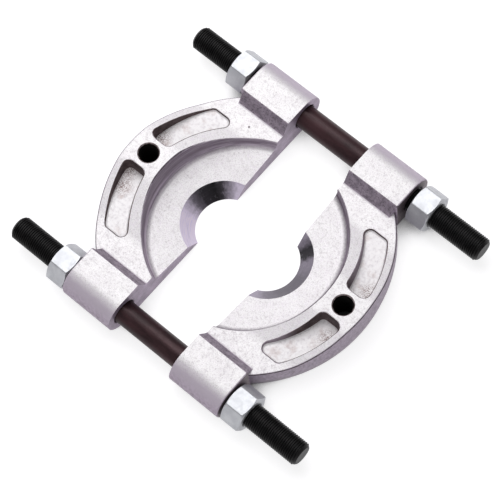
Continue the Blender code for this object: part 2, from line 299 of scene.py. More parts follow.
forgingTones = {
    "top": (0.84, 0.815, 0.835),
    "topPale": (0.90, 0.885, 0.895),
    # painted shade: the tones for tilted, upright and downward faces stand in for how light falls on them
    "shoulderShade": (0.66, 0.585, 0.68),
    "side": (0.60, 0.505, 0.62),
    "sideShadeDark": (0.42, 0.35, 0.43),
    "under": (0.15, 0.125, 0.15),
    "underShadePale": (0.30, 0.255, 0.30),
    "speck": (0.52, 0.47, 0.51),
    "pit": (0.10, 0.08, 0.09),
    "pitPlace": (-0.04718, 0.05456, 0.0190),
    "stain": (0.22, 0.145, 0.14),
    "stainPlaces": ((-0.0850, 0.015, 0.0175), (-0.0850, -0.014, 0.0175), (-0.0815, -0.024, 0.0175),
                    (0.0800, -0.020, 0.0175), (0.0800, 0.018, 0.0175)),
}


def platedForging():
    # zinc over a blasted forging: pale satin tops with a fine uneven grain, and painted shade in lilac grey where
    # it turns down or under
    tones = forgingTones
    material, coords = patterned("platedForging")
    cloud = noiseField(material, coords, 95, 3)
    mottle = noiseField(material, coords, 560, 4, 0.65)
    grain = noiseField(material, coords, 1500, 3, 0.6)
    slope = slopeField(material, spread(material, mottle, 0.3, 0.7, -0.045, 0.045))
    colour = tint(material, cloud, 0.35, 0.65, 1, tones["top"], tones["topPale"])
    colour = tint(material, mottle, 0.50, 0.70, 0.50, colour, tones["speck"])
    colour = tint(material, grain, 0.50, 0.72, 0.60, colour, (0.96, 0.955, 0.96))
    colour = tint(material, grain, 0.50, 0.30, 0.60, colour, tones["speck"])
    # painted shade: darker on tilted faces, darker still on upright ones
    colour = tint(material, slope, 0.995, 0.955, 0.26, colour, tones["shoulderShade"])
    colour = tint(material, slope, 0.97, 0.82, 1, colour, tones["shoulderShade"])
    side = tint(material, mottle, 0.40, 0.66, 1, tones["side"], tones["sideShadeDark"])
    colour = tint(material, slope, 0.75, 0.25, 1, colour, side)
    # painted shade on downward faces, with a brown stain cloud in it
    under = tint(material, mottle, 0.42, 0.62, 1, tones["under"], tones["underShadePale"])
    under = tint(material, cloud, 0.48, 0.66, 0.6, under, tones["stain"])
    colour = tint(material, slope, -0.10, -0.45, 1, colour, under)
    pit = spotField(material, coords, tones["pitPlace"], 0.0004, 0.0009)
    colour = blendColours(material, pit, colour, tones["pit"])
    rough = spread(material, mottle, 0.3, 0.7, 0.42, 0.60)
    dents = bumpFrom(material, mottle, 0.40, 0.00035)
    normal = bumpFrom(material, grain, 0.30, 0.00012, dents)
    closeMaterial(material, colour, rough, 0.30, normal, 0.35)
    return material


def turnedWall(pale, dark):
    # the recess's wall: fine turning lines round it over painted shade, darkest where it stands upright, pale
    # again where it runs out into the floor
    tones = forgingTones
    material, coords = patterned("turnedWall")
    tall = stretched(material, coords, (0.03, 0.03, 1))
    lines = noiseField(material, tall, 1100, 4, 0.7)
    mottle = noiseField(material, coords, 560, 4, 0.65)
    grain = noiseField(material, coords, 1500, 3, 0.6)
    slope = slopeField(material, spread(material, mottle, 0.3, 0.7, -0.06, 0.06))
    side = tint(material, lines, 0.40, 0.62, 1, pale, dark)
    side = tint(material, slope, 0.42, 0.16, 0.45, side, (0.20, 0.16, 0.205))
    level = tint(material, grain, 0.50, 0.30, 0.60, tones["top"], tones["speck"])
    colour = tint(material, slope, 0.66, 1.0, 1, side, level)
    normal = bumpFrom(material, lines, 0.30, 0.0002)
    closeMaterial(material, colour, spread(material, lines, 0.3, 0.7, 0.42, 0.58), 0.30, normal, 0.35)
    return material


def paintedShadeForging(dark, pale):
    # painted shade on the rounded edges of recess and rim and on the lugs' inner sides, with a darker mottle
    material, coords = patterned("paintedShadeForging")
    cloud = noiseField(material, coords, 210, 3)
    mottle = noiseField(material, coords, 800, 4, 0.65)
    colour = tint(material, cloud, 0.36, 0.64, 1, dark, pale)
    colour = tint(material, mottle, 0.48, 0.66, 0.6, colour, (0.06, 0.046, 0.053))
    normal = bumpFrom(material, mottle, 0.30, 0.0002)
    closeMaterial(material, colour, spread(material, mottle, 0.3, 0.7, 0.48, 0.66), 0.2, normal, 0.3)
    return material


# lighter stretches of pocket wall in the right jaw: place, core, rim
lighterWallPatches = (((0.0625, 0.030, 0.0215), 0.010, 0.020), ((0.0570, -0.045, 0.0195), 0.006, 0.018))


def scaleAndShadeWall():
    # pocket walls: dark brown scale with painted shade over it, lighter in a few patches
    material, coords = patterned("scaleAndShadeWall")
    cloud = noiseField(material, coords, 130, 4, 0.6)
    fine = noiseField(material, coords, 900, 3, 0.6)
    colour = tint(material, cloud, 0.35, 0.65, 1, (0.070, 0.048, 0.050), (0.165, 0.120, 0.125))
    for place, core, rim in lighterWallPatches:
        lighterPatch = spotField(material, coords, place, core, rim)
        colour = blendColours(material, lighterPatch, colour, (0.36, 0.30, 0.355))
    colour = tint(material, fine, 0.52, 0.72, 0.5, colour, (0.06, 0.042, 0.043))
    normal = bumpFrom(material, fine, 0.35, 0.0002)
    closeMaterial(material, colour, spread(material, fine, 0.3, 0.7, 0.5, 0.75), 0.15, normal, 0.3)
    return material


def pocketFloor():
    # pocket floors: the pale forging with brown stains
    tones = forgingTones
    material, coords = patterned("pocketFloor")
    cloud = noiseField(material, coords, 120, 4, 0.6)
    mottle = noiseField(material, coords, 560, 4, 0.65)
    grain = noiseField(material, coords, 1500, 3, 0.6)
    colour = tint(material, grain, 0.50, 0.75, 0.35, tones["top"], (0.95, 0.95, 0.95))
    colour = tint(material, mottle, 0.50, 0.72, 0.42, colour, tones["speck"])
    colour = tint(material, cloud, 0.52, 0.70, 0.60, colour, (0.50, 0.40, 0.39))
    stained = tint(material, grain, 0.44, 0.58, 1, colour, tones["stain"])
    for place in tones["stainPlaces"]:
        colour = blendColours(material, spotField(material, coords, place, 0.001, 0.0085), colour, stained)
    dents = bumpFrom(material, mottle, 0.40, 0.00035)
    normal = bumpFrom(material, grain, 0.30, 0.00012, dents)
    closeMaterial(material, colour, spread(material, mottle, 0.3, 0.7, 0.45, 0.62), 0.30, normal, 0.35)
    return material


def angleField(material, coords, axisX, side):
    # 0 to 1 round a jaw's knife edge, from 100 degrees in front of its centre line to 100 behind
    parts = addNode(material, "ShaderNodeSeparateXYZ")
    wire(material, coords, parts.inputs[0])
    along = addNode(material, "ShaderNodeMath", operation="SUBTRACT")
    along.inputs[1].default_value = axisX
    wire(material, parts.outputs["X"], along.inputs[0])
    outwards = addNode(material, "ShaderNodeMath", operation="MULTIPLY")
    outwards.inputs[1].default_value = side
    wire(material, along.outputs[0], outwards.inputs[0])
    angle = addNode(material, "ShaderNodeMath", operation="ARCTAN2")
    wire(material, parts.outputs["Y"], angle.inputs[0])
    wire(material, outwards.outputs[0], angle.inputs[1])
    return spread(material, angle.outputs[0], math.radians(-100), math.radians(100), 0, 1)


cones = {
    # painted reflections round each cone: share of the way from front to rear, and how bright
    "left": {
        "axisX": -0.0184,
        "side": -1,
        "reflectionBands": ((0.15, 0.96), (0.38, 1.0), (0.45, 0.62), (0.50, 0.17), (0.56, 0.035),
                  (0.66, 0.010), (0.71, 0.05), (0.76, 0.34), (0.82, 0.80)),
    },
    "right": {
        "axisX": 0.0134,
        "side": 1,
        "reflectionBands": ((0.18, 0.46), (0.25, 0.22), (0.35, 0.14), (0.52, 0.15), (0.60, 0.26),
                  (0.66, 0.30), (0.70, 0.03), (0.76, 0.02), (0.84, 0.34)),
    },
}


def turnedSteel(side):
    # the knife cone, turned bright: painted reflections lying across it and fine turning lines round it
    size = cones[side]
    material, coords = patterned("turnedSteel_" + side)
    tall = stretched(material, coords, (0.04, 0.04, 1))
    rings = noiseField(material, tall, 2600, 2)
    flat = stretched(material, coords, (1, 1, 0.10))
    chatter = noiseField(material, flat, 420, 3, 0.6)
    angle = angleField(material, coords, size["axisX"], size["side"])
    uneven = addNode(material, "ShaderNodeMath", operation="ADD")
    wire(material, angle, uneven.inputs[0])
    wire(material, spread(material, chatter, 0.3, 0.7, -0.018, 0.018), uneven.inputs[1])
    reflectionBands = addNode(material, "ShaderNodeValToRGB")
    ramp = reflectionBands.color_ramp
    while len(ramp.elements) < len(size["reflectionBands"]):
        ramp.elements.new(0.5)
    for stop, (place, tone) in zip(ramp.elements, size["reflectionBands"]):
        stop.position = place
        stop.color = (tone, tone * 0.89, tone * 1.10, 1)
    wire(material, uneven.outputs[0], reflectionBands.inputs[0])
    colour = tint(material, rings, 0.50, 0.70, 0.22, reflectionBands.outputs[0], (0.10, 0.09, 0.11))
    colour = tint(material, chatter, 0.60, 0.70, 0.10, colour, (0.60, 0.56, 0.63))
    normal = bumpFrom(material, rings, 0.25, 0.00006)
    closeMaterial(material, colour, spread(material, rings, 0.3, 0.7, 0.30, 0.44), 0.12, normal, 0.3)
    return material


def cutFace(dark, pale):
    # the milled split faces and lug ends, plated over
    material, coords = patterned("cutFace")
    shade = noiseField(material, coords, 140, 4)
    streaks = stretched(material, coords, (1, 1, 9))
    lines = noiseField(material, streaks, 420, 3)
    colour = tint(material, shade, 0.35, 0.65, 1, dark, pale)
    colour = tint(material, lines, 0.50, 0.70, 0.4, colour, (0.14, 0.12, 0.14))
    normal = bumpFrom(material, lines, 0.25, 0.00010)
    closeMaterial(material, colour, spread(material, lines, 0.3, 0.7, 0.36, 0.50), 0.5, normal)
    return material


def darkBore():
    # inside of the tapped puller hole: painted shade, near black with a faint rusty tinge
    material, coords = patterned("darkBore")
    shade = noiseField(material, coords, 300, 3)
    colour = tint(material, shade, 0.40, 0.70, 1, (0.003, 0.003, 0.003), (0.014, 0.010, 0.009))
    normal = bumpFrom(material, shade, 0.2, 0.0001)
    closeMaterial(material, colour, spread(material, shade, 0.3, 0.7, 0.40, 0.6), 0.0, normal, 0.08)
    return material


def rustyMouth():
    # countersink of the puller hole: bare steel gone brown
    material, coords = patterned("rustyMouth")
    shade = noiseField(material, coords, 420, 4, 0.6)
    colour = tint(material, shade, 0.38, 0.62, 1, (0.10, 0.060, 0.058), (0.40, 0.33, 0.34))
    normal = bumpFrom(material, shade, 0.3, 0.0001)
    closeMaterial(material, colour, spread(material, shade, 0.3, 0.7, 0.38, 0.6), 0.5, normal, 0.4)
    return material


def brightZinc():
    # the nuts: bright plate with light handling marks
    material, coords = patterned("brightZinc")
    cloud = noiseField(material, coords, 150, 3)
    marks = noiseField(material, coords, 900, 3, 0.6)
    colour = tint(material, cloud, 0.35, 0.65, 1, (0.54, 0.55, 0.585), (0.66, 0.67, 0.70))
    colour = tint(material, marks, 0.56, 0.74, 0.3, colour, (0.58, 0.60, 0.64))
    rough = spread(material, marks, 0.3, 0.7, 0.34, 0.50)
    normal = bumpFrom(material, marks, 0.18, 0.00010)
    closeMaterial(material, colour, rough, 0.55, normal, 0.3)
    return material


def blackThread():
    # oily black oxide, matt in the thread
    material, coords = patterned("blackThread")
    cloud = noiseField(material, coords, 260, 3)
    fine = noiseField(material, coords, 1800, 3)
    colour = tint(material, cloud, 0.35, 0.65, 1, (0.006, 0.0055, 0.006), (0.014, 0.013, 0.0135))
    rough = spread(material, fine, 0.3, 0.7, 0.34, 0.50)
    normal = bumpFrom(material, fine, 0.15, 0.00006)
    closeMaterial(material, colour, rough, 0.2, normal, 0.22)
    return material


def blackShank():
    # the plain shank, worn to a reddish black
    material, coords = patterned("blackShank")
    stretch = stretched(material, coords, (0.25, 1, 1))
    cloud = noiseField(material, stretch, 180, 4)
    fine = noiseField(material, coords, 1400, 3)
    colour = tint(material, cloud, 0.35, 0.65, 1, (0.026, 0.0095, 0.012), (0.060, 0.024, 0.029))
    rough = spread(material, fine, 0.3, 0.7, 0.34, 0.50)
    normal = bumpFrom(material, fine, 0.15, 0.00006)
    closeMaterial(material, colour, rough, 0.2, normal, 0.30)
    return material


finishes = {
    "forging": platedForging(),
    # painted shade on the recess walls: a lighter copy for the left jaw, a darker one for the right
    "recess_left": turnedWall((0.62, 0.53, 0.64), (0.28, 0.225, 0.29)),
    "recess_right": turnedWall((0.32, 0.265, 0.33), (0.15, 0.118, 0.155)),
    # painted shade on rounded edges and on the lugs' inner sides
    "edge": paintedShadeForging((0.11, 0.088, 0.11), (0.22, 0.178, 0.22)),
    "lugSide": paintedShadeForging((0.27, 0.225, 0.28), (0.42, 0.35, 0.43)),
    # brown scale with painted shade on the pocket walls
    "pocketWall": scaleAndShadeWall(),
    "pocketFloor": pocketFloor(),
    # painted reflections on the knife cones, one copy for each jaw
    "cone_left": turnedSteel("left"),
    "cone_right": turnedSteel("right"),
    "split": cutFace((0.36, 0.29, 0.38), (0.54, 0.44, 0.57)),
    # painted shade on the lug ends by the nuts: a darker copy of the cut face
    "lugEnd": cutFace((0.15, 0.115, 0.13), (0.26, 0.205, 0.235)),
    # painted shade inside the puller hole
    "bore": darkBore(),
    "mouth": rustyMouth(),
    "zinc": brightZinc(),
    "thread": blackThread(),
    "shank": blackShank(),
}
print("finishes ready:", len(finishes))


# camera, at the photograph's place

camera = {
    "turn": 50.54,
    "height": 67.60,
    "roll": -10.20,
    "distance": 1.5065,
    "lens": 178.86,
    "aim": (0.00408, -0.0042, 0.010),
}


def placeCamera():
    clearSelection()
    bpy.ops.object.camera_add()
    eye = rename("photoCamera")
    turn, height, roll = (math.radians(camera[key]) for key in ("turn", "height", "roll"))
    back = Vector((math.sin(turn) * math.cos(height), -math.cos(turn) * math.cos(height), math.sin(height)))
    right = Vector((math.cos(turn), math.sin(turn), 0))
    up = back.cross(right)
    rolledRight = math.cos(roll) * right + math.sin(roll) * up
    rolledUp = math.cos(roll) * up - math.sin(roll) * right
    placed = Matrix((rolledRight, rolledUp, back)).transposed().to_4x4()
    placed.translation = Vector(camera["aim"]) + back * camera["distance"]
    eye.matrix_world = placed
    eye.data.sensor_width = 36
    eye.data.lens = camera["lens"]
    eye.data.clip_start = 0.01
    eye.data.clip_end = 20
    bpy.context.scene.camera = eye


placeCamera()
print("camera placed")


# floor, backdrop and lamps

studio = {
    "floorSize": 10.0,
    "floorColour": (0.40, 0.39, 0.41),
    "floorGlow": 0.80,
    "keyPower": 15.0,
    "keySize": 1.3,
    "keyPlace": (-0.50, 0.32, 1.20),
    "fillPower": 2.2,
    "fillSize": 0.8,
    "fillPlace": (0.5, -1.1, 0.7),
    "worldStrength": 0.20,
}


def whiteWhereSeen(material, shader, strength):
    # camera, mirror and glass rays get more white; the lamps' light on it stays
    path = addNode(material, "ShaderNodeLightPath")
    seen = addNode(material, "ShaderNodeMath", operation="MAXIMUM")
    seenAll = addNode(material, "ShaderNodeMath", operation="MAXIMUM")
    wire(material, path.outputs["Is Camera Ray"], seen.inputs[0])
    wire(material, path.outputs["Is Glossy Ray"], seen.inputs[1])
    wire(material, seen.outputs[0], seenAll.inputs[0])
    wire(material, path.outputs["Is Transmission Ray"], seenAll.inputs[1])
    glow = addNode(material, "ShaderNodeEmission")
    glow.inputs["Color"].default_value = (1, 1, 1, 1)
    # none of it where the object covers the floor: ambient occlusion paints shade there
    uncovered = addNode(material, "ShaderNodeAmbientOcclusion", samples=16)
    uncovered.inputs["Distance"].default_value = 0.035
    share = spread(material, uncovered.outputs["AO"], 0.15, 0.40, 0, strength)
    wire(material, share, glow.inputs["Strength"])
    total = addNode(material, "ShaderNodeAddShader")
    dark = addNode(material, "ShaderNodeEmission")
    dark.inputs["Strength"].default_value = 0
    choice = addNode(material, "ShaderNodeMixShader")
    wire(material, seenAll.outputs[0], choice.inputs[0])
    wire(material, dark.outputs[0], choice.inputs[1])
    wire(material, glow.outputs[0], choice.inputs[2])
    wire(material, shader, total.inputs[0])
    wire(material, choice.outputs[0], total.inputs[1])
    return total.outputs[0]


def areaLamp(name, power, size, place):
    clearSelection()
    bpy.ops.object.light_add(type="AREA", location=place)
    lamp = rename(name)
    lamp.data.energy = power
    lamp.data.shape = "SQUARE"
    lamp.data.size = size
    lamp.rotation_euler = (-Vector(place)).to_track_quat("-Z", "Y").to_euler()


def setStudio():
    clearSelection()
    bpy.ops.mesh.primitive_plane_add(size=studio["floorSize"], location=(0, 0, -0.0001))
    floor = rename("paleFloor")
    applyPlace(floor)
    material = newMaterial("paleFloor")
    coat = addNode(material, "ShaderNodeBsdfDiffuse")
    coat.inputs["Color"].default_value = (*studio["floorColour"], 1)
    output = addNode(material, "ShaderNodeOutputMaterial")
    wire(material, whiteWhereSeen(material, coat.outputs[0], studio["floorGlow"]), output.inputs["Surface"])
    floor.data.materials.append(material)
    world = bpy.data.worlds.new("softRoom")
    bpy.context.scene.world = world
    world.use_nodes = True
    room = world.node_tree.nodes["Background"]
    room.inputs["Color"].default_value = (1, 1, 1, 1)
    room.inputs["Strength"].default_value = studio["worldStrength"]
    areaLamp("keyLamp", studio["keyPower"], studio["keySize"], studio["keyPlace"])
    areaLamp("fillLamp", studio["fillPower"], studio["fillSize"], studio["fillPlace"])
    bpy.context.scene.view_settings.view_transform = "Standard"


setStudio()
print("studio set")


# studs: rolled thread at both ends of a plain shank

stud = {
    "radius": 0.0079375,
    "shankRadius": 0.00782,
    "halfLength": 0.1143,
    "threadStart": 0.0349,      # from the middle
    "runOut": 0.0024,
    "pitch": 0.0014111,
    "threadDepth": 0.00082,
    "crest": 0.16,              # flat share of the pitch
    "root": 0.20,
    "nose": 0.0017,             # end chamfer
    "core": 0.004,              # the end chamfer goes no nearer the axis
    "steps": 40,
    "spacing": 0.167,
    "height": 0.014,
}


def threadProfile():
    radius, depth, pitch, crest, root = (stud[key] for key in ("radius", "threadDepth", "pitch", "crest", "root"))
    flank = (1 - crest - root) / 2
    return [
        (radius - depth, 0),
        (radius - depth, -pitch * root),
        (radius, -pitch * (root + flank)),
        (radius, -pitch * (root + flank + crest)),
        (radius - depth, -pitch),
    ]


def limitRadius(piece, lowest, highest):
    # keeps each point between two radii that depend on its height
    for vertex in piece.data.vertices:
        radius = math.hypot(vertex.co.x, vertex.co.y)
        if radius < 0.000001:
            continue
        wanted = min(max(radius, lowest(vertex.co.z)), highest(vertex.co.z))
        vertex.co.x *= wanted / radius
        vertex.co.y *= wanted / radius


def bisectAt(piece, height, upwards, fill):
    # removes what lies beyond a level plane
    editAll(piece)
    bpy.ops.mesh.bisect(plane_co=(0, 0, height), plane_no=(0, 0, 1 if upwards else -1),
                        use_fill=fill, clear_outer=True, threshold=0.0000001)
    bpy.ops.object.mode_set(mode="OBJECT")


def threadedEnd():
    size = stud
    start, end = size["threadStart"], size["halfLength"]
    turns = math.ceil((end - start) / size["pitch"]) + 3
    piece = turnPiece("threadedEnd", threadProfile(), size["steps"], size["pitch"], turns)
    for vertex in piece.data.vertices:
        vertex.co.z += start - size["pitch"] / 2
    bisectAt(piece, end, True, True)
    bisectAt(piece, start, False, False)
    rootRadius = size["radius"] - size["threadDepth"]

    def lowest(height):
        share = min(max((start + size["runOut"] - height) / size["runOut"], 0), 1)
        return rootRadius + (size["shankRadius"] - rootRadius) * share

    def highest(height):
        nearEnd = size["radius"] - size["nose"] + (end - height)
        nearShank = size["shankRadius"] + max(height - start, 0)
        return max(min(size["radius"], nearEnd, nearShank), size["core"])

    limitRadius(piece, lowest, lambda height: 1)
    limitRadius(piece, lambda height: 0, highest)
    return piece


def buildStud():
    piece = threadedEnd()
    other = copyPiece(piece, "otherEnd")
    other.rotation_euler.x = math.pi
    applyPlace(other)
    pick(piece)
    other.select_set(True)
    bpy.ops.object.join()
    # bridge the two open ends with the shank
    bpy.ops.object.mode_set(mode="EDIT")
    bpy.ops.mesh.select_mode(type="EDGE")
    bpy.ops.mesh.select_all(action="DESELECT")
    bpy.ops.mesh.select_non_manifold(extend=False, use_wire=False, use_boundary=True,
                                     use_multi_face=False, use_non_contiguous=False, use_verts=False)
    bpy.ops.mesh.bridge_edge_loops()
    bpy.ops.mesh.select_mode(type="VERT")
    bpy.ops.mesh.select_all(action="SELECT")
    faceOutwards()
    piece.rotation_euler.y = math.pi / 2
    applyPlace(piece)
    piece.data.materials.clear()
    piece.data.materials.append(finishes["thread"])
    piece.data.materials.append(finishes["shank"])
    for face in piece.data.polygons:
        if abs(face.center.x) < stud["threadStart"]:
            face.material_index = 1
    smoothShade(piece, 40, False)
    return piece


def placeStuds():
    first = buildStud()
    for row, side in (("front", -1), ("rear", 1)):
        piece = copyPiece(first, "studPiece_" + row)
        piece.location = (0, side * stud["spacing"] / 2, stud["height"])
        applyPlace(piece)
        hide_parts("stud_" + row)
        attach(piece, "stud_" + row)
    bpy.data.objects.remove(first, do_unlink=True)


placeStuds()
print("studs made")


# nuts

nut = {
    "acrossFlats": 0.0238,
    "thickness": 0.0143,
    "cornerRound": 0.0006,
    "faceDiameter": 0.0229,
    "chamferAngle": 28,
    "boreRadius": 0.00800,
    "mouth": 0.0007,
}


def buildNut():
    size = nut
    corner = size["acrossFlats"] / math.sqrt(3)
    half = size["thickness"] / 2
    clearSelection()
    bpy.ops.mesh.primitive_cylinder_add(vertices=6, radius=corner, depth=size["thickness"] * 1.4)
    piece = rename("nutPiece")
    # round the six long edges
    bpy.ops.object.mode_set(mode="EDIT")
    bpy.ops.mesh.select_mode(type="EDGE")
    bpy.ops.mesh.select_all(action="DESELECT")
    bpy.ops.object.mode_set(mode="OBJECT")
    for edge in piece.data.edges:
        low, high = (piece.data.vertices[index].co for index in edge.vertices)
        edge.select = abs(low.z - high.z) > size["thickness"]
    bpy.ops.object.mode_set(mode="EDIT")
    bpy.ops.mesh.bevel(offset=size["cornerRound"], segments=3)
    bpy.ops.mesh.select_mode(type="VERT")
    bpy.ops.object.mode_set(mode="OBJECT")
    reach = corner * 1.06
    drop = (reach - size["faceDiameter"] / 2) * math.tan(math.radians(size["chamferAngle"]))
    face = size["faceDiameter"] / 2
    soft = 0.00025
    outline = [
        (0, half),
        (face - soft, half),
        (face, half - soft * 0.25),
        (reach, half - drop),
        (reach, drop - half),
        (face, soft * 0.25 - half),
        (face - soft, -half),
        (0, -half),
    ]
    cutOrJoin(piece, turnPiece("nutTrim", outline, 144), "INTERSECT")
    bore = size["boreRadius"]
    mouth = bore + size["mouth"]
    past = 0.002
    profile = [(0, half + past), (mouth + past, half + past), (bore, half - size["mouth"]),
               (bore, size["mouth"] - half), (mouth + past, -half - past), (0, -half - past)]
    cutOrJoin(piece, turnPiece("nutDrill", profile, 72), "DIFFERENCE")
    piece.rotation_euler.y = math.pi / 2
    applyPlace(piece)
    piece.data.materials.clear()
    piece.data.materials.append(finishes["zinc"])
    smoothShade(piece, 24)
    return piece


def placeNuts():
    first = buildNut()
    for side in ("left", "right"):
        for row in ("front", "rear"):
            node = "nut_" + side + "_" + row
            low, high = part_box(node)
            piece = copyPiece(first, "nutPiece_" + side + "_" + row)
            piece.location = (low + high) / 2
            applyPlace(piece)
            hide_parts(node)
            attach(piece, node)
    bpy.data.objects.remove(first, do_unlink=True)


placeNuts()
print("nuts made")


# jaws: modelled with the split face at x = 0 and the body towards +X

jaw = {
    "gap": 0.0488,
    "shift": -0.0025,
    "lugLength": 0.038,
    "lugHeight": 0.028,
    "lugInner": 0.01575,
    "lugEdge": 0.0009,
    "lugCorner": 0.0016,        # rounding of the inner top edge
    "lugSlope": 60,             # of the inner side, from level
    "lugFoot": 0.0030,          # where that side meets the rim's top
    "boreRadius": 0.0083,
    "boreMouth": 0.0007,
    "arcOffset": 0.0225,
    "outerRadius": 0.0902,
    "bossHeight": 0.0273,       # rim's top level round the puller hole
    "lowHeight": 0.0190,        # and by the lugs
    "rampStart": 0.012,
    "rampEnd": 0.0473,
    "rampBlend": 0.0030,
    "edgeRadius": 0.0010,
    "partingHeight": 0.009,
    "upperDraft": 0.0003,
    "lowerDraft": 0.0013,
    "footRadius": 0.0018,
    "recessTop": 0.0626,        # at the boss level
    "recessTaper": 0.14,
    "recessEdge": 0.0008,
    "recessFillet": 0.0052,
    "floorHeight": 0.0085,
    "floorSlope": 0.17,
    "notchOffset": 0.0085,
    "knifeRadius": 0.0203,
    "knifeLand": 0.0004,
    "notchSlope": 0.98,
    "pocketInner": 0.0699,
    "pocketOuter": 0.0849,
    "pocketNear": 0.0105,
    "pocketFar": 0.0512,
    "pocketCorner": 0.0042,
    "pocketFloor": 0.0175,
    "pocketDraft": 0.08,
    "pocketFillet": 0.0014,
    "pocketEdge": 0.0005,
    "holeRadius": 0.00575,
    "holePlace": 0.0535,
    "holeMouth": 0.00705,
    "holePitch": 0.00127,
    "holeThread": 0.0006,
    "past": 0.003,
    "ringSteps": 288,
}


def rimTop(across):
    # boss level, ramp and low level, with rounded breaks between them
    size = jaw
    blend = size["rampBlend"]

    def fallen(past):
        if past <= -blend:
            return 0
        if past >= blend:
            return past
        return (past + blend) ** 2 / (4 * blend)

    fall = (size["bossHeight"] - size["lowHeight"]) / (size["rampEnd"] - size["rampStart"])
    across = abs(across)
    lowered = fallen(across - size["rampStart"]) - fallen(across - size["rampEnd"])
    return size["bossHeight"] - fall * lowered


def splitAtBreaks(piece):
    # lines across the flat top where its slope changes
    pick(piece)
    bpy.ops.object.mode_set(mode="EDIT")
    for end in (jaw["rampStart"], jaw["rampEnd"]):
        for share in range(-4, 5):
            for side in (-1, 1):
                across = side * (end + jaw["rampBlend"] * share / 4)
                bpy.ops.mesh.select_all(action="SELECT")
                bpy.ops.mesh.bisect(plane_co=(0, across, 0), plane_no=(0, 1, 0), threshold=0.000001)
    bpy.ops.object.mode_set(mode="OBJECT")


def followTop(piece, lowest, taper=0.0):
    # lowers what lies above a height from the boss level to the rim's top, along a tapered wall
    offset = jaw["arcOffset"]
    for vertex in piece.data.vertices:
        if vertex.co.z > lowest:
            radius = max(math.hypot(vertex.co.x + offset, vertex.co.y), 0.00003)
            shrink = 1.0
            for attempt in range(5):
                drop = jaw["bossHeight"] - rimTop(vertex.co.y * shrink)
                shrink = max(1 - taper * drop / radius, 0)
            vertex.co.x = (vertex.co.x + offset) * shrink - offset
            vertex.co.y *= shrink
            vertex.co.z -= drop


def shiftAlong(piece, distance):
    piece.location.x = distance
    applyPlace(piece)


def dissolvePoles(piece):
    # the fans round the axis become single flat faces
    pick(piece)
    bpy.ops.object.mode_set(mode="EDIT")
    bpy.ops.mesh.select_mode(type="VERT")
    bpy.ops.mesh.select_all(action="DESELECT")
    bpy.ops.object.mode_set(mode="OBJECT")
    for vertex in piece.data.vertices:
        vertex.select = math.hypot(vertex.co.x, vertex.co.y) < 0.00003
    bpy.ops.object.mode_set(mode="EDIT")
    bpy.ops.mesh.dissolve_verts()
    bpy.ops.object.mode_set(mode="OBJECT")


def rimBlank():
    size = jaw
    upper, lower = size["outerRadius"] - size["upperDraft"], size["outerRadius"] - size["lowerDraft"]
    edge, foot = size["edgeRadius"], size["footRadius"]
    profile = [(0, size["bossHeight"])]
    profile += arc((upper - edge, size["bossHeight"] - edge), edge, math.pi / 2, 0, 6)
    outer, parting = size["outerRadius"], size["partingHeight"]
    profile += [(outer - 0.00005, parting + 0.0010), (outer, parting + 0.0003)]
    profile += [(outer, parting - 0.0003), (outer - 0.00015, parting - 0.0010)]
    profile += arc((lower - foot, foot), foot, 0, -math.pi / 2, 6)
    profile.append((0, 0))
    piece = turnPiece("rimBlank", profile, size["ringSteps"])
    dissolvePoles(piece)
    shiftAlong(piece, -size["arcOffset"])
    splitAtBreaks(piece)
    followTop(piece, size["partingHeight"] + 0.002)
    return piece


def lugPair():
    size = jaw
    half = size["lugHeight"] / 2
    axis = stud["spacing"] / 2

    def section(inset):
        # flat top and base, half-round outer side
        inner = inset - size["lugInner"]
        corner = size["lugCorner"] - inset / 2
        top = size["lugHeight"] - inset
        points = [(inner, inset)]
        points += arc((0, half), half - inset, -math.pi / 2, math.pi / 2, 36)
        points += arc((inner + corner, top - corner), corner, math.pi / 2, math.pi, 5)
        return points

    length, edge = size["lugLength"], size["lugEdge"]
    levels = []
    # straight, then rounded off at the end
    for distance, inset in ((-size["past"], 0), (length - edge, 0),
                            (length - edge * 0.62, edge * 0.08), (length - edge * 0.29, edge * 0.29),
                            (length - edge * 0.08, edge * 0.62), (length, edge)):
        levels.append([(distance, axis + across, height) for across, height in section(inset)])
    return mirrorAcross(raisePiece("lugPair", levels))


def lugSides():
    # slope from the lug's rounded top edge down to the rim, with a concave foot
    size = jaw
    face = stud["spacing"] / 2 - size["lugInner"]
    slope, corner, foot = math.radians(size["lugSlope"]), size["lugCorner"], size["lugFoot"]
    sink = 0.00003      # below the top, so that no two faces coincide
    base = size["lowHeight"] - sink
    top = size["lugHeight"] - corner * (1 - math.cos(slope)) - sink
    edge = face + corner * (1 - math.sin(slope)) + sink
    start = edge - (top - base) / math.tan(slope) - foot * math.tan(slope / 2)
    section = [(edge + corner, base - size["past"]), (edge + corner, top), (edge, top)]
    section += arc((start, base + foot), foot, slope - math.pi / 2, -math.pi / 2, 10)
    section.append((start, base - size["past"]))
    ends = (-0.0015, size["lugLength"] - 2 * size["lugEdge"])
    levels = [[(end, across, height) for across, height in section] for end in ends]
    return mirrorAcross(raisePiece("lugSides", levels))


def notchCutter():
    size = jaw
    past, radius, land = size["past"], size["knifeRadius"], size["knifeLand"]
    top = size["bossHeight"] + past
    profile = [(0, top), (radius + size["notchSlope"] * (top - land), top),
               (radius, land), (radius, -past), (0, -past)]
    piece = turnPiece("notchCutter", profile, 200)
    shiftAlong(piece, -size["notchOffset"])
    return piece


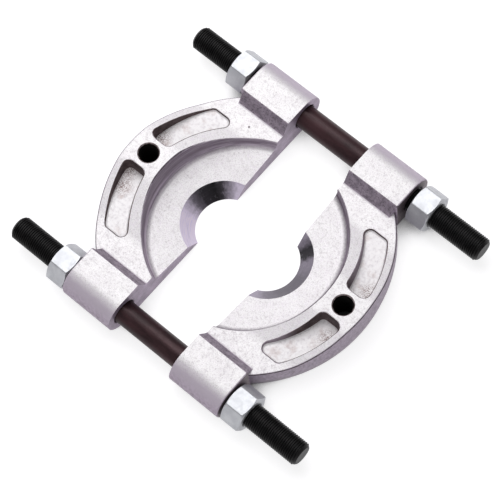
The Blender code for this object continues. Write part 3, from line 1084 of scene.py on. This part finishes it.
def recessCutter():
    size = jaw
    past, edge, top = size["past"], size["recessEdge"], size["recessTop"]
    corner = math.hypot(size["arcOffset"], size["knifeRadius"] + size["notchSlope"] * size["floorHeight"])

    def floorAt(radius):
        return size["floorHeight"] + size["floorSlope"] * (radius - corner)

    height, fillet = size["bossHeight"], size["recessFillet"]
    foot = top - size["recessTaper"] * (height - floorAt(top) - fillet)
    filletStart = foot - fillet
    profile = [(0, height + past), (top + edge * 1.5, height + past), (top + edge * 1.1, height + 0.0001)]
    profile += [(top + edge * 0.6, height - edge * 0.12), (top + edge * 0.2, height - edge * 0.4)]
    profile += [(top - edge * 0.08, height - edge * 0.9), (top - edge * 0.35, height - edge * 1.7)]
    for radius, drop in arc((filletStart, 0), fillet, 0, -math.pi / 2, 12):
        profile.append((radius, floorAt(filletStart) + fillet + drop))
    profile += [(fillet, floorAt(fillet)), (0, floorAt(fillet))]
    piece = turnPiece("recessCutter", profile, size["ringSteps"])
    shiftAlong(piece, -size["arcOffset"])
    followTop(piece, height - edge * 2, size["recessTaper"])
    return piece


def pocketOutline(inset):
    # kidney between two arcs and two ends that run along the studs
    size = jaw
    inner, outer = size["pocketInner"] + inset, size["pocketOuter"] - inset
    near, far = size["pocketNear"] + inset, size["pocketFar"] - inset
    corner = max(size["pocketCorner"] - inset, size["pocketCorner"] / 4)

    def centre(radius, across):
        return (math.sqrt(radius ** 2 - across ** 2), across)

    def heading(point):
        return math.atan2(point[1], point[0])

    innerNear, outerNear = centre(inner + corner, near + corner), centre(outer - corner, near + corner)
    outerFar, innerFar = centre(outer - corner, far - corner), centre(inner + corner, far - corner)
    points = arc(innerNear, corner, heading(innerNear) + math.pi, 1.5 * math.pi, 8)
    points += arc(outerNear, corner, -math.pi / 2, heading(outerNear), 8)
    points += arc((0, 0), outer, heading(outerNear), heading(outerFar), 28)[1:-1]
    points += arc(outerFar, corner, heading(outerFar), math.pi / 2, 8)
    points += arc(innerFar, corner, math.pi / 2, heading(innerFar) + math.pi, 8)
    points += arc((0, 0), inner, heading(innerFar), heading(innerNear), 28)[1:-1]
    return [(x - size["arcOffset"], y) for x, y in points]


def pocketCutters():
    size = jaw
    floor, fillet = size["pocketFloor"], size["pocketFillet"]
    draft, edge = size["pocketDraft"], size["pocketEdge"]
    drawnAt = (size["bossHeight"] + size["lowHeight"]) / 2
    drawn, stepped = pocketOutline(0), pocketOutline(0.001)

    def ring(heightAt, flare):
        # the drawn outline, drafted to each point's height and flared outwards
        points = []
        for (x, y), (nextX, nextY) in zip(drawn, stepped):
            height = heightAt(y)
            inset = (draft * (drawnAt - height) - flare) / 0.001
            points.append((x + (nextX - x) * inset, y + (nextY - y) * inset, height))
        return points

    levels = []
    for share in (0, 0.2, 0.4, 0.6, 0.8, 1):
        angle = math.pi / 2 * share
        level = floor + fillet * (1 - math.cos(angle))
        levels.append(ring(lambda y: level, fillet * (math.sin(angle) - 1)))
    for depth, flare in ((1.6, 0), (0.95, 0.05), (0.5, 0.2), (0.2, 0.5), (0.04, 0.9), (-0.1, 1.2)):
        levels.append(ring(lambda y: rimTop(y) - edge * depth, edge * flare))
    levels.append(ring(lambda y: rimTop(y) + size["past"], edge * 1.2))
    return mirrorAcross(raisePiece("pocketCutters", levels))


def boreCutters():
    size = jaw
    bore, mouth, past, length = size["boreRadius"], size["boreMouth"], size["past"], size["lugLength"]
    wide = bore + mouth + past
    profile = [(0, length + past), (wide, length + past), (bore, length - mouth),
               (bore, mouth), (wide, -past), (0, -past)]
    piece = turnPiece("boreCutters", profile, 64)
    piece.rotation_euler.y = math.pi / 2
    piece.location = (0, stud["spacing"] / 2, stud["height"])
    applyPlace(piece)
    return mirrorAcross(piece)


def holeCutter():
    # plain hole with its two mouths
    size = jaw
    top = size["bossHeight"]
    radius = size["holeRadius"] + size["holeThread"]
    flare = size["holeMouth"] - radius
    past = size["past"]
    profile = [(0, top + past), (size["holeMouth"] + past, top + past), (radius, top - flare),
               (radius, flare), (size["holeMouth"] + past, -past), (0, -past)]
    piece = turnPiece("holeCutter", profile, 64)
    shiftAlong(piece, size["holePlace"])
    return piece


def holeThread():
    # the tapped thread, a ridged sleeve that lines the hole
    size = jaw
    radius = size["holeRadius"] + size["holeThread"]
    pitch = size["holePitch"]
    low, high = 0.0012, size["bossHeight"] - 0.0016
    turns = math.ceil((high - low) / pitch) + 1
    root, crest = radius + 0.0001, size["holeRadius"]       # the root lies just inside the metal
    profile = [(root, 0), (root, -pitch * 0.15), (crest, -pitch * 0.5), (crest, -pitch * 0.65), (root, -pitch)]
    piece = turnPiece("holeThread", profile, 48, pitch, turns)
    for vertex in piece.data.vertices:
        vertex.co.z += low
    bisectAt(piece, high, True, False)
    bisectAt(piece, low, False, False)
    fade = 0.0008

    def lowest(height):
        # the ridge runs out at both ends
        return crest + max(height - high + fade, low + fade - height, 0)

    limitRadius(piece, lowest, lambda height: 1)
    # inside of the hole is the side that shows
    editAll(piece)
    faceOutwards()
    faces = piece.data.polygons
    inwards = sum(face.center.x * face.normal.x + face.center.y * face.normal.y < 0 for face in faces)
    if inwards < len(faces) / 2:
        bpy.ops.object.mode_set(mode="EDIT")
        bpy.ops.mesh.flip_normals()
        bpy.ops.object.mode_set(mode="OBJECT")
    shiftAlong(piece, size["holePlace"])
    return piece


def box(name, low, high):
    clearSelection()
    middle = [(a + b) / 2 for a, b in zip(low, high)]
    bpy.ops.mesh.primitive_cube_add(size=1, location=middle)
    piece = rename(name)
    piece.scale = [b - a for a, b in zip(low, high)]
    applyPlace(piece)
    return piece


jawFinishes = ("forging", "cone_left", "split", "bore", "mouth", "pocketWall", "pocketFloor",
               "recess_left", "edge", "lugSide", "lugEnd")

jawPlaces = {
    "slack": 0.0002,
    "splitDepth": 0.00002,
    "lugFace": 0.0675,          # where the lugs begin, across
    "lugSide": (0.060, 0.0695),
    "coneDepth": 0.0003,
    "coneTop": 0.02,
    "coneReach": 0.04,
    "pocketRim": 0.0015,        # past the pocket's drawn outline
    "pocketEnds": 0.0012,
    "recessBand": 0.0095,       # width of wall and fillet from above
}


def finishAt(spot, normal):
    # finishes by place: cut faces, cone, hole, pockets, recess, edges, and forging everywhere else
    size, places = jaw, jawPlaces
    slack, across = places["slack"], abs(spot.y)
    fromNotch = math.hypot(spot.x + size["notchOffset"], spot.y)
    coneRadius = size["knifeRadius"] + size["notchSlope"] * max(spot.z - size["knifeLand"], 0)
    onCone = abs(fromNotch - coneRadius) < places["coneDepth"]
    fromHole = math.hypot(spot.x - size["holePlace"], spot.y)
    fromAxis = math.hypot(spot.x + size["arcOffset"], spot.y)
    rim, ends = places["pocketRim"], places["pocketEnds"]
    inPocket = size["pocketInner"] - rim < fromAxis < size["pocketOuter"] + rim
    inPocket = inPocket and size["pocketNear"] - ends < across < size["pocketFar"] + ends
    floorEdge = size["pocketFloor"] + size["pocketFillet"] * 0.5
    inHole = fromHole < size["holeRadius"] + size["holeThread"] + slack
    onRecess = size["recessTop"] - places["recessBand"] < fromAxis < size["recessTop"]
    fromRecessEdge = abs(fromAxis - size["recessTop"] - size["recessEdge"] * 0.4)
    onRim = abs(fromAxis - size["outerRadius"]) < 0.002 and across < places["lugFace"]
    if abs(normal.x) > 0.9 and spot.x < places["splitDepth"]:
        return "split"
    # painted shade on the lug ends by the nuts
    if abs(normal.x) > 0.9 and spot.x > size["lugLength"] - slack and across > places["lugFace"]:
        return "lugEnd"
    # painted reflections on the knife cone
    if spot.z < places["coneTop"] and onCone and across < places["coneReach"]:
        return "cone_left"
    # painted shade inside the puller hole
    if inHole and 0.0001 < spot.z < size["bossHeight"] - 0.0012:
        return "bore"
    if fromHole < size["holeMouth"] + slack and abs(normal.z) < 0.9:
        return "mouth"
    # brown scale and painted shade on the pocket walls
    if inPocket and normal.z < 0.93 and spot.z > floorEdge:
        return "pocketWall"
    if inPocket and spot.z < floorEdge and normal.z > 0.5:
        return "pocketFloor"
    # painted shade on the recess wall
    if onRecess and size["floorHeight"] < spot.z and normal.z < 0.995:
        return "recess_left"
    # painted shade on the recess's rounded top edge
    if fromRecessEdge < size["recessEdge"] and 0.2 < normal.z < 0.95:
        return "edge"
    near, far = places["lugSide"]
    # painted shade on the lugs' sloping inner sides
    if near < across < far and spot.z > size["lowHeight"] + 0.0004 and 0.3 < normal.z < 0.9:
        return "lugSide"
    # painted shade as a dark line on the rim's rounded outer edge
    if onRim and 0.35 < normal.z < 0.85 and spot.z > 0.012:
        return "edge"
    return "forging"


def paintJaw(piece):
    piece.data.materials.clear()
    for key in jawFinishes:
        piece.data.materials.append(finishes[key])
    for face in piece.data.polygons:
        face.material_index = jawFinishes.index(finishAt(face.center, face.normal))


def buildJaw():
    size = jaw
    piece = rimBlank()
    deep = size["outerRadius"] - size["arcOffset"]
    reach = stud["spacing"] / 2 - size["lugInner"] / 2
    past, high, far = size["past"], 0.06, 0.2       # high and far are clear of the jaw
    cutOrJoin(piece, box("rimLimits", (-0.006, -reach, -past), (deep + past, reach, high)), "INTERSECT")
    cutOrJoin(piece, lugPair(), "UNION")
    cutOrJoin(piece, lugSides(), "UNION")
    cutOrJoin(piece, box("beforeSplit", (-0.12, -far, -past), (0, far, high)), "DIFFERENCE")
    for cutter in (notchCutter, recessCutter, pocketCutters, boreCutters, holeCutter):
        cutOrJoin(piece, cutter(), "DIFFERENCE")
    mergeDoubles(piece, 0.000003)
    smoothShade(piece, 30)
    thread = holeThread()
    pick(thread)
    bpy.ops.object.shade_smooth_by_angle(angle=math.radians(30))
    pick(piece)
    thread.select_set(True)
    bpy.ops.object.join()
    paintJaw(piece)
    return piece


def placeJaws():
    first = buildJaw()
    for side, sign in (("left", -1), ("right", 1)):
        piece = copyPiece(first, "jawPiece_" + side)
        # each jaw's own painted shade on the recess wall and painted reflections on the cone
        for part in ("cone", "recess"):
            piece.data.materials[jawFinishes.index(part + "_left")] = finishes[part + "_" + side]
        if sign < 0:
            piece.rotation_euler.z = math.pi
        piece.location.x = jaw["shift"] + sign * jaw["gap"] / 2
        applyPlace(piece)
        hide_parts("jaw_" + side)
        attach(piece, "jaw_" + side)
    bpy.data.objects.remove(first, do_unlink=True)


placeJaws()
print("jaws made")
